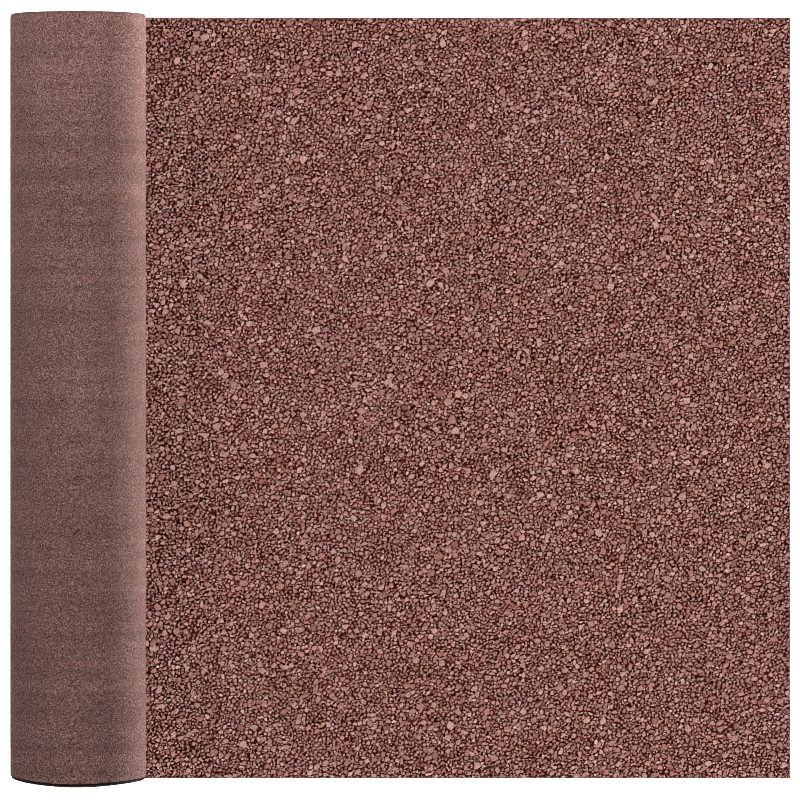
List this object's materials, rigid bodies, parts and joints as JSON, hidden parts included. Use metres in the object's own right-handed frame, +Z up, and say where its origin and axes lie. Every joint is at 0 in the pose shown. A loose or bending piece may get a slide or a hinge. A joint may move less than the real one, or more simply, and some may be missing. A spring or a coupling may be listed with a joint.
{
  "type": "roll of roofing felt",
  "caption": "Roll of mineral-surfaced roofing felt lying down, with an open bore and its loose end unrolled flat, granule side up.",
  "frame": {"origin": "on the floor, under the middle of the whole piece: the middle of the bounding box's bottom face", "axes": "+Z up; +Y along the roll's axis, which is the width of the felt; +X the way the loose end unrolls, away from the roll"},
  "size_m": [1.0204, 1, 0.1769],
  "materials": {
    "bitumen_felt": "matte",
    "mineral_granules": "matte"
  },
  "bodies": {
    "root": {"felt_roll": "bitumen_felt"}
  },
  "joints": []
}
